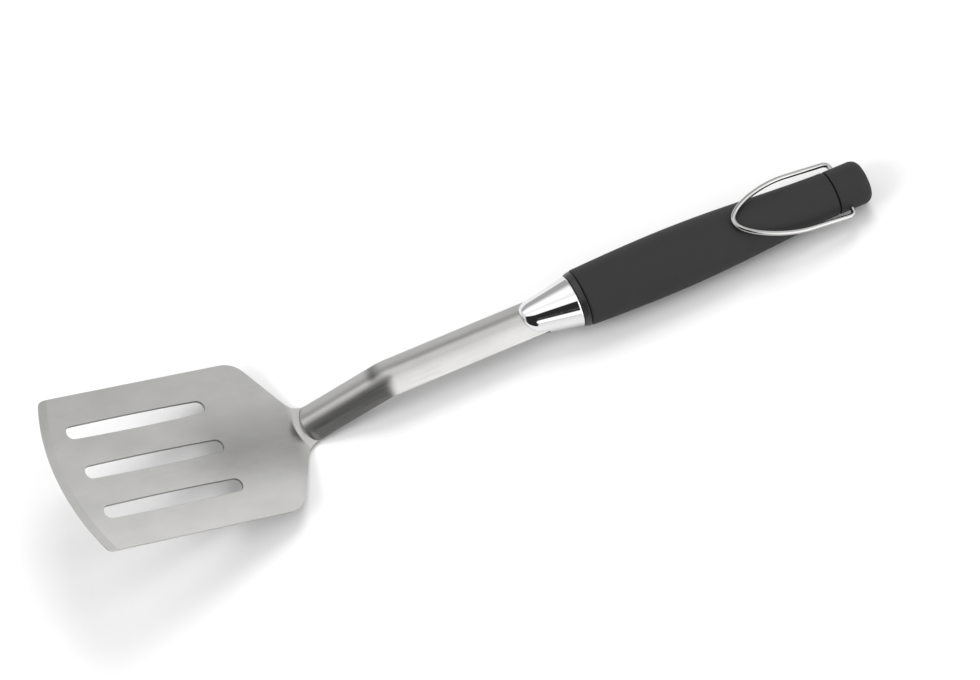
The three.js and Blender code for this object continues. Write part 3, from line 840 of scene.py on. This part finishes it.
def collar_size(place):
    flare = COLLAR_FLARE * (place - COLLAR_FRONT) / COLLAR_LENGTH
    return COLLAR_HALF_WIDTH + flare, COLLAR_HALF_HEIGHT + flare


def grip_size(place):
    """Half width and half height of the grip: full at the belly, less at the front and rear."""
    if place < GRIP_BELLY_AT:
        share = math.sin(clamp((place - GRIP_START) / BELLY_FROM_FRONT) * math.pi / 2)
        return tuple(lerp(front, belly, share) for front, belly in zip(GRIP_FRONT, GRIP_BELLY))
    behind = clamp((place - GRIP_BELLY_AT) / (GRIP_END - GRIP_BELLY_AT))
    share = math.cos(behind * math.pi / 2) ** TAPER_POWER
    return tuple(lerp(rear, belly, share) for rear, belly in zip(GRIP_REAR, GRIP_BELLY))


def cross_bar(name, radius, start, end):
    """A round bar across the handle at the loop's pivot, used to cut the end cap."""
    turns = span(0, 2 * math.pi, CUTTER_SIDES)[:-1]
    spots = arc((PIVOT_AT, AXIS_RISE), radius, turns)
    points = [HANDLE @ Vector((x, y, z)) for y in (start, end) for x, z in spots]
    return make_object(name, points, capped_faces(2, CUTTER_SIDES))


def cut(piece, cutters):
    """Cuts shapes out of a piece for good, and removes them."""
    for cutter in cutters:
        modifier = piece.modifiers.new(cutter.name, "BOOLEAN")
        modifier.operation = "DIFFERENCE"
        modifier.solver = "EXACT"
        modifier.object = cutter
    depsgraph = bpy.context.evaluated_depsgraph_get()
    mesh = bpy.data.meshes.new_from_object(piece.evaluated_get(depsgraph))
    piece.modifiers.clear()
    piece.data = mesh
    for cutter in cutters:
        bpy.data.objects.remove(cutter)


def end_cap():
    """The rear end of the handle, with its spigot, the loop's hole and a recess at each side."""
    half_width, half_height = GRIP_REAR
    edge = CAP_FRONT_EDGE
    rings = [
        oval(CAP_FRONT - SPIGOT_LENGTH, SPIGOT_HALF_WIDTH, SPIGOT_HALF_HEIGHT),
        oval(CAP_FRONT, SPIGOT_HALF_WIDTH, SPIGOT_HALF_HEIGHT),
    ]
    for angle in span(math.pi / 2, 0, CAP_FRONT_EDGE_STEPS):
        inset = edge * (1 - math.cos(angle))
        place = CAP_FRONT + edge * (1 - math.sin(angle))
        rings.append(oval(place, half_width - inset, half_height - inset))
    for place in span(CAP_FRONT + edge, CAP_REAR - CAP_EDGE_RADIUS, CAP_SIDE_STEPS)[1:]:
        rings.append(oval(place, half_width, half_height))
    for angle in span(0, math.pi / 2, CAP_REAR_EDGE_STEPS)[1:]:
        inset = CAP_TAPER + CAP_EDGE_RADIUS * (1 - math.cos(angle))
        place = CAP_REAR - CAP_EDGE_RADIUS * (1 - math.sin(angle))
        rings.append(oval(place, half_width - inset, half_height - inset))
    cap = ring_object("rear_cap", rings)
    reach = half_width + CUTTER_MARGIN
    recess = half_width - PIVOT_RECESS_DEPTH
    cutters = [
        cross_bar("cut_hole", WIRE_RADIUS + FIT, -reach, reach),
        cross_bar("cut_left", PIVOT_RECESS_RADIUS, recess, reach),
        cross_bar("cut_right", PIVOT_RECESS_RADIUS, -reach, -recess),
    ]
    cut(cap, cutters)
    cap.data.set_sharp_from_angle(angle=CAP_SHARP_ANGLE)
    return cap


def bezier(points, share):
    """A point on a curve of any degree through its control points."""
    while len(points) > 1:
        points = [a.lerp(b, share) for a, b in zip(points, points[1:])]
    return points[0]


def loop_path():
    """The centre line of the hanging loop, flat, from one stub round to the other."""
    leg = BAIL_HALF_WIDTH
    front = [
        (-BAIL_LEG_LENGTH, leg),
        (-BAIL_LEG_LENGTH - BAIL_LEG_REACH, leg),
        (-BAIL_LENGTH, BAIL_APEX_REACH),
        (-BAIL_LENGTH, 0),
    ]
    stub = [(0, BAIL_STUB_INNER), (0, leg - BAIL_BEND)]
    bend = [(0, leg - BAIL_BEND), (0, leg), (-BAIL_BEND, leg)]
    side = [(-BAIL_BEND, leg), (-BAIL_LEG_LENGTH, leg)]
    half = [Vector(stub[0])]
    for run, steps in zip((stub, bend, side, front), LOOP_STEPS):
        controls = [Vector(control) for control in run]
        half += [bezier(controls, share) for share in span(0, 1, steps)[1:]]
    return half + [Vector((x, -y)) for x, y in half[-2::-1]]


def hanging_bail():
    """The polished wire loop, swept along its centre line and folded down on the grip."""
    pivot = Matrix.Translation((PIVOT_AT, 0, AXIS_RISE))
    fold = HANDLE @ pivot @ Matrix.Rotation(BAIL_ANGLE, 4, "Y")
    path = loop_path()
    rings = []
    for i, (x, y) in enumerate(path):
        ahead = path[min(i + 1, len(path) - 1)] - path[max(i - 1, 0)]
        across = Vector((-ahead.y, ahead.x, 0)).normalized()
        ring = []
        for turn in span(0, 2 * math.pi, WIRE_SIDES)[:-1]:
            spot = Vector((x, y, 0)) + across * WIRE_RADIUS * math.cos(turn)
            spot.z = WIRE_RADIUS * math.sin(turn)
            ring.append(fold @ spot)
        rings.append(ring)
    return ring_object("wire_loop", rings)


# Materials


def new_material(name):
    """A material with its node tree and its main shader."""
    material = bpy.data.materials.new(name)
    material.use_nodes = True
    return material, material.node_tree, material.node_tree.nodes["Principled BSDF"]


def add_node(tree, kind, **settings):
    """A node with its settings, and values for its named sockets."""
    node = tree.nodes.new(kind)
    for key, value in settings.items():
        if hasattr(node, key):
            setattr(node, key, value)
        else:
            node.inputs[key.replace("_", " ")].default_value = value
    return node


def stretched_noise(tree, coordinates, scale, detail=4.0):
    """Noise over coordinates that are stretched by a scale along each axis."""
    mapping = add_node(tree, "ShaderNodeMapping")
    mapping.inputs["Scale"].default_value = scale
    tree.links.new(coordinates, mapping.inputs["Vector"])
    noise = add_node(tree, "ShaderNodeTexNoise", Scale=1.0, Detail=detail, Roughness=0.6)
    tree.links.new(mapping.outputs["Vector"], noise.inputs["Vector"])
    return noise.outputs["Fac"]


# Values between which a noise mostly stays
NOISE_LOW = 0.3
NOISE_HIGH = 0.7


def spread(tree, value, low, high):
    """A noise spread between two values."""
    node = add_node(tree, "ShaderNodeMapRange")
    node.inputs["From Min"].default_value = NOISE_LOW
    node.inputs["From Max"].default_value = NOISE_HIGH
    node.inputs["To Min"].default_value = low
    node.inputs["To Max"].default_value = high
    tree.links.new(value, node.inputs["Value"])
    return node.outputs["Result"]


def tint(tree, value, low, high):
    """A colour between two others, by a noise."""
    ramp = add_node(tree, "ShaderNodeValToRGB")
    start, end = ramp.color_ramp.elements
    start.position = NOISE_LOW
    start.color = (*low, 1)
    end.position = NOISE_HIGH
    end.color = (*high, 1)
    tree.links.new(value, ramp.inputs["Fac"])
    return ramp.outputs["Color"]


def ease(tree, value, start, end, top=1.0):
    """A value eased from 0 where it is at a start to a top where it is at an end."""
    node = add_node(tree, "ShaderNodeMapRange", interpolation_type="SMOOTHSTEP")
    node.inputs["From Min"].default_value = start
    node.inputs["From Max"].default_value = end
    node.inputs["To Max"].default_value = top
    tree.links.new(value, node.inputs["Value"])
    return node.outputs["Result"]


def calculate(tree, operation, *values):
    """The outcome of an operation on sockets and plain numbers."""
    node = add_node(tree, "ShaderNodeMath", operation=operation)
    for socket, value in zip(node.inputs, values):
        if isinstance(value, float):
            socket.default_value = value
        else:
            tree.links.new(value, socket)
    return node.outputs["Value"]


def darken(tree, colour, mask, shade):
    """A colour multiplied by a shade where a mask is 1."""
    node = add_node(tree, "ShaderNodeMix", data_type="RGBA", blend_type="MULTIPLY")
    tree.links.new(mask, node.inputs["Factor"])
    tree.links.new(colour, node.inputs["A"])
    node.inputs["B"].default_value = (*shade, 1)
    return node.outputs["Result"]


def add_bump(tree, shader, height, strength, distance):
    """A bump on the surface, as high as the distance in metres where the height is 1."""
    bump = add_node(tree, "ShaderNodeBump", Strength=strength, Distance=distance)
    tree.links.new(height, bump.inputs["Height"])
    tree.links.new(bump.outputs["Normal"], shader.inputs["Normal"])


# Scales of the soft noises, by the metre, and the finish that pieces of one kind share
METAL_CLOUD = (45, 45, 45)
GRIP_CLOUD = (160, 160, 160)
GRIP_SPECULAR = 0.42
GRIP_DOT_RANDOMNESS = 0.35
PLASTIC_CLOUD = (220, 220, 220)
PLASTIC_BUMP = (0.15, 0.0002)


def metal_material(name, low, high, roughness, grain, bump):
    """A metal whose colour varies softly, and its roughness with a fine grain."""
    material, tree, shader = new_material(name)
    place = add_node(tree, "ShaderNodeTexCoord").outputs["Object"]
    shader.inputs["Metallic"].default_value = 1.0
    fine = stretched_noise(tree, place, grain)
    cloud = stretched_noise(tree, place, METAL_CLOUD, 2.0)
    tree.links.new(tint(tree, cloud, low, high), shader.inputs["Base Color"])
    tree.links.new(spread(tree, fine, *roughness), shader.inputs["Roughness"])
    add_bump(tree, shader, fine, *bump)
    return material


# Painted shade on the steel, in millimetres across the sheet and along it from the neck
FAN_FRONT = (-95.0, -45.0)
FAN_REAR = (-5.0, -12.0)
FAN_MIDDLE = -9.0
FAN_HALF_WIDTH = 29.0
PAINTED_FAN_SHADE = (0.78, 0.78, 0.785)
# Band of painted shade over the shaft's bend
BEND_SHADE_MIDDLE = BEND_START - 1.6
BEND_SHADE_HALF_WIDTH = 5.5
BEND_SHADE_FADE = (-2.5, 1.5)
PAINTED_BEND_SHADE = (0.4, 0.4, 0.4)
# Painted shade on the cut edges, for the shadowed floor that they reflect
PAINTED_EDGE_SHADE = (0.5, 0.5, 0.5)


def parted(tree, place):
    """The distances of a place across the sheet and along it."""
    parts = add_node(tree, "ShaderNodeSeparateXYZ")
    tree.links.new(place, parts.inputs["Vector"])
    return parts.outputs["X"], parts.outputs["Y"]


def painted_shade_fan(tree, place):
    """Painted shade for the shaft's reflection on the blade ahead of the neck, fading to the front: 1
    inside, 0 outside.
    """
    across, along = parted(tree, place)
    aside = calculate(tree, "ABSOLUTE", calculate(tree, "SUBTRACT", across, FAN_MIDDLE))
    ahead = ease(tree, along, *FAN_FRONT)
    neck = ease(tree, along, *FAN_REAR)
    within = ease(tree, aside, FAN_HALF_WIDTH, 0.0)
    return calculate(tree, "MULTIPLY", calculate(tree, "MULTIPLY", ahead, neck), within)


def painted_bend_shade(tree, place):
    """Painted shade: a soft dark band over the left flank of the shaft's bend: 1 in its middle, 0
    outside.
    """
    across, along = parted(tree, place)
    away = calculate(tree, "ABSOLUTE", calculate(tree, "SUBTRACT", along, BEND_SHADE_MIDDLE))
    band = ease(tree, away, BEND_SHADE_HALF_WIDTH, 0.0)
    return calculate(tree, "MULTIPLY", band, ease(tree, across, *BEND_SHADE_FADE))


# Finish of the steel, with the scales of its noises by the millimetre across the sheet and along it
STEEL_LOW = (0.42, 0.416, 0.408)
STEEL_HIGH = (0.47, 0.466, 0.458)
STEEL_CLOUD = (0.06, 0.03, 1)
STEEL_STREAKS = (2.2, 0.035, 1)
STEEL_ROUGHNESS = (0.27, 0.41)
STEEL_BUMP = (0.13, 0.00003)
STEEL_ANISOTROPY = 0.7


def steel_material():
    """Satin stainless steel, brushed along the tool, with highlights drawn out across the streaks."""
    material, tree, shader = new_material("satin_steel")
    shader.inputs["Metallic"].default_value = 1.0
    shader.inputs["Anisotropic"].default_value = STEEL_ANISOTROPY
    tangent = add_node(tree, "ShaderNodeTangent", direction_type="UV_MAP", uv_map="UVMap")
    tree.links.new(tangent.outputs["Tangent"], shader.inputs["Tangent"])
    place = add_node(tree, "ShaderNodeTexCoord").outputs["UV"]
    streaks = stretched_noise(tree, place, STEEL_STREAKS, 5.0)
    cloud = stretched_noise(tree, place, STEEL_CLOUD, 3.0)
    edge_shade_mask = add_node(tree, "ShaderNodeAttribute", attribute_name="edge_shade_mask").outputs["Fac"]
    colour = tint(tree, cloud, STEEL_LOW, STEEL_HIGH)
    # Painted shade on the blade ahead of the neck, where the dark shaft is reflected
    colour = darken(tree, colour, painted_shade_fan(tree, place), PAINTED_FAN_SHADE)
    # Painted shade: a dark band over the left flank of the shaft's bend
    colour = darken(tree, colour, painted_bend_shade(tree, place), PAINTED_BEND_SHADE)
    # Painted shade on the cut edges, where they reflect the shadowed floor
    colour = darken(tree, colour, edge_shade_mask, PAINTED_EDGE_SHADE)
    tree.links.new(colour, shader.inputs["Base Color"])
    tree.links.new(spread(tree, streaks, *STEEL_ROUGHNESS), shader.inputs["Roughness"])
    add_bump(tree, shader, streaks, *STEEL_BUMP)
    return material


def grip_material(name, low, high, roughness, pitch, bump):
    """A soft moulded plastic with rows of fine dots."""
    material, tree, shader = new_material(name)
    shader.inputs["Specular IOR Level"].default_value = GRIP_SPECULAR
    coordinates = add_node(tree, "ShaderNodeTexCoord")
    cloud = stretched_noise(tree, coordinates.outputs["Object"], GRIP_CLOUD, 3.0)
    tree.links.new(tint(tree, cloud, low, high), shader.inputs["Base Color"])
    tree.links.new(spread(tree, cloud, *roughness), shader.inputs["Roughness"])
    dots = add_node(tree, "ShaderNodeTexVoronoi", Scale=1.0 / pitch)
    dots.inputs["Randomness"].default_value = GRIP_DOT_RANDOMNESS
    tree.links.new(coordinates.outputs["UV"], dots.inputs["Vector"])
    add_bump(tree, shader, dots.outputs["Distance"], *bump)
    return material


def plastic_material(name, low, high, roughness):
    """A plain moulded plastic with a slight unevenness."""
    material, tree, shader = new_material(name)
    place = add_node(tree, "ShaderNodeTexCoord").outputs["Object"]
    cloud = stretched_noise(tree, place, PLASTIC_CLOUD, 4.0)
    tree.links.new(tint(tree, cloud, low, high), shader.inputs["Base Color"])
    tree.links.new(spread(tree, cloud, *roughness), shader.inputs["Roughness"])
    add_bump(tree, shader, cloud, *PLASTIC_BUMP)
    return material


steel = steel_material()
chrome = metal_material(
    "bright_chrome",
    low=(0.73, 0.73, 0.74),
    high=(0.77, 0.77, 0.775),
    roughness=(0.03, 0.05),
    grain=(300, 300, 300),
    bump=(0.02, 0.00002),
)
wire = metal_material(
    "polished_wire",
    low=(0.43, 0.428, 0.422),
    high=(0.48, 0.477, 0.47),
    roughness=(0.14, 0.22),
    grain=(700, 700, 700),
    bump=(0.05, 0.00003),
)
rivet_steel = metal_material(
    "rivet_steel",
    low=(0.46, 0.455, 0.445),
    high=(0.52, 0.515, 0.505),
    roughness=(0.3, 0.4),
    grain=(900, 900, 200),
    bump=(0.1, 0.00003),
)
rubber = grip_material(
    "soft_grip",
    low=(0.010, 0.010, 0.0105),
    high=(0.014, 0.014, 0.0145),
    roughness=(0.62, 0.74),
    pitch=0.9,
    bump=(0.5, 0.00012),
)
trim = plastic_material(
    "trim_plastic",
    low=(0.010, 0.010, 0.010),
    high=(0.016, 0.016, 0.016),
    roughness=(0.32, 0.42),
)
core = plastic_material(
    "core_plastic",
    low=(0.020, 0.020, 0.022),
    high=(0.028, 0.028, 0.030),
    roughness=(0.45, 0.6),
)


def dress(piece, material, body, node):
    """Gives a piece its material, and its place on the frame."""
    piece.data.materials.clear()
    piece.data.materials.append(material)
    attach(piece, body)
    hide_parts(node)


collar_stations = span(COLLAR_FRONT, COLLAR_REAR, COLLAR_STEPS)
grip_stations = span(GRIP_START, GRIP_BELLY_AT, GRIP_FRONT_STEPS)
grip_stations += span(GRIP_BELLY_AT, GRIP_END, GRIP_REAR_STEPS)[1:]
dress(blade_and_shaft(), steel, "spatula", "blade_and_shaft")
dress(ferrule(), chrome, "spatula", "ferrule")
collar = rounded_sleeve("collar_band", collar_stations, collar_size, COLLAR_EDGE, COLLAR_WALL)
dress(collar, trim, "spatula", "front_collar")
sleeve = rounded_sleeve("soft_sleeve", grip_stations, grip_size, GRIP_EDGE_RADIUS, GRIP_WALL)
dress(sleeve, rubber, "spatula", "grip_sleeve")
dress(end_cap(), rubber, "spatula", "end_cap")
dress(hanging_bail(), wire, "bail", "hanging_bail")

for node, material in (
    ("core_upper_half", core),
    ("core_lower_half", core),
    ("tang_rivet_front", rivet_steel),
    ("tang_rivet_rear", rivet_steel),
):
    frame["nodes"][node].data.materials.clear()
    frame["nodes"][node].data.materials.append(material)


# Floor, light and camera

FLOOR_SIZE = 4.0
FLOOR_COLOUR = (0.62, 0.62, 0.62)


def floor():
    """A plain pale floor that keeps soft shadows."""
    mesh = bpy.data.meshes.new("floor")
    half = FLOOR_SIZE / 2
    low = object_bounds()[0].z
    corners = [(-half, -half, low), (half, -half, low), (half, half, low), (-half, half, low)]
    mesh.from_pydata(corners, [], [(0, 1, 2, 3)])
    piece = bpy.data.objects.new("floor", mesh)
    bpy.context.scene.collection.objects.link(piece)
    material, _, shader = new_material("white_floor")
    shader.inputs["Base Color"].default_value = (*FLOOR_COLOUR, 1)
    shader.inputs["Roughness"].default_value = 0.9
    shader.inputs["Specular IOR Level"].default_value = 0.0
    mesh.materials.append(material)
    piece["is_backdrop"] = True


def add_patch(tree, direction, total, way, inner, outer, strength):
    """Adds to the sky a patch about a way, full inside one angle and gone outside another."""
    dot = add_node(tree, "ShaderNodeVectorMath", operation="DOT_PRODUCT")
    tree.links.new(direction, dot.inputs[0])
    dot.inputs[1].default_value = Vector(way).normalized()
    edge = math.cos(math.radians(outer))
    full = math.cos(math.radians(inner))
    return calculate(tree, "ADD", total, ease(tree, dot.outputs["Value"], edge, full, strength))


# Level of the room, and soft bright and dark patches on it: the way to each, the angles in
# degrees inside which it is full and outside which it is gone, and its strength
ROOM_LEVEL = 0.03
SKY_PATCHES = (
    ((0.78, 0.4, 0.46), 8, 30, 0.74),
    ((0.85, -0.2, 0.5), 8, 30, 1.9),
    ((0.2, 0.3, 0.93), 12, 26, 0.25),
    ((0.62, 0.2, 0.76), 8, 20, 0.3),
    ((-0.1, 0.25, 1.0), 24, 50, 0.9),
    ((0.0, 0.95, 0.3), 35, 60, 0.46),
    ((-0.9, 0.25, 0.35), 25, 50, 0.6),
    ((-0.95, -0.15, 0.2), 20, 40, 0.35),
    ((0.354, -0.76, 0.545), 28, 32, 1.5),
    ((0.42, -0.91, 0.03), 28, 32, 1.0),
    ((0.25, -0.3, 0.92), 18, 30, 0.45),
    ((-0.402, -0.862, 0.309), 17, 20, -3.0),
    ((-0.360, -0.676, 0.643), 20, 23, -3.0),
    ((-0.084, -0.478, 0.875), 13.5, 16, -3.0),
)

# Way to each lamp and its power in watts
LAMPS = (
    (Vector((-0.8, -0.05, 0.6)), 52),
    (Vector((0.25, 0.55, 0.8)), 50),
)
LAMP_DISTANCE = 3.0
LAMP_SIZE = 1.3


def studio_light():
    """A dim room with soft patches of light, and two lamps: at the left, and at the back right."""
    world = bpy.data.worlds.new("studio")
    world.use_nodes = True
    bpy.context.scene.world = world
    tree = world.node_tree
    background = tree.nodes["Background"]
    background.inputs["Color"].default_value = (1, 1, 1, 1)
    direction = add_node(tree, "ShaderNodeTexCoord").outputs["Generated"]
    room = add_node(tree, "ShaderNodeValue")
    room.outputs["Value"].default_value = ROOM_LEVEL
    total = room.outputs["Value"]
    for patch in SKY_PATCHES:
        total = add_patch(tree, direction, total, *patch)
    level = calculate(tree, "MAXIMUM", total, ROOM_LEVEL)
    tree.links.new(level, background.inputs["Strength"])

    for i, (way, power) in enumerate(LAMPS):
        data = bpy.data.lights.new(f"soft_lamp_{i}", "AREA")
        data.energy = power
        data.size = LAMP_SIZE
        lamp = bpy.data.objects.new(f"soft_lamp_{i}", data)
        lamp.location = way.normalized() * LAMP_DISTANCE
        lamp.rotation_euler = way.to_track_quat("Z", "Y").to_euler()
        lamp.visible_glossy = False
        bpy.context.scene.collection.objects.link(lamp)


CAMERA_TARGET = Vector((10.54, -1.69, 15.0)) * MM
CAMERA_AZIMUTH = math.radians(-25.37)
CAMERA_ELEVATION = math.radians(64.89)
CAMERA_DISTANCE = 2.74
CAMERA_LENS = 188.2
CAMERA_SENSOR = 36


def camera():
    """A long lens, looking down on the tool from in front and from the blade's side."""
    data = bpy.data.cameras.new("camera")
    data.lens = CAMERA_LENS
    data.sensor_width = CAMERA_SENSOR
    piece = bpy.data.objects.new("camera", data)
    bpy.context.scene.collection.objects.link(piece)
    back = Vector(
        (
            math.sin(CAMERA_AZIMUTH) * math.cos(CAMERA_ELEVATION),
            -math.cos(CAMERA_AZIMUTH) * math.cos(CAMERA_ELEVATION),
            math.sin(CAMERA_ELEVATION),
        )
    )
    piece.location = CAMERA_TARGET + back * CAMERA_DISTANCE
    piece.rotation_euler = back.to_track_quat("Z", "Y").to_euler()
    bpy.context.scene.camera = piece


floor()
studio_light()
camera()
bpy.context.scene.view_settings.view_transform = "Standard"
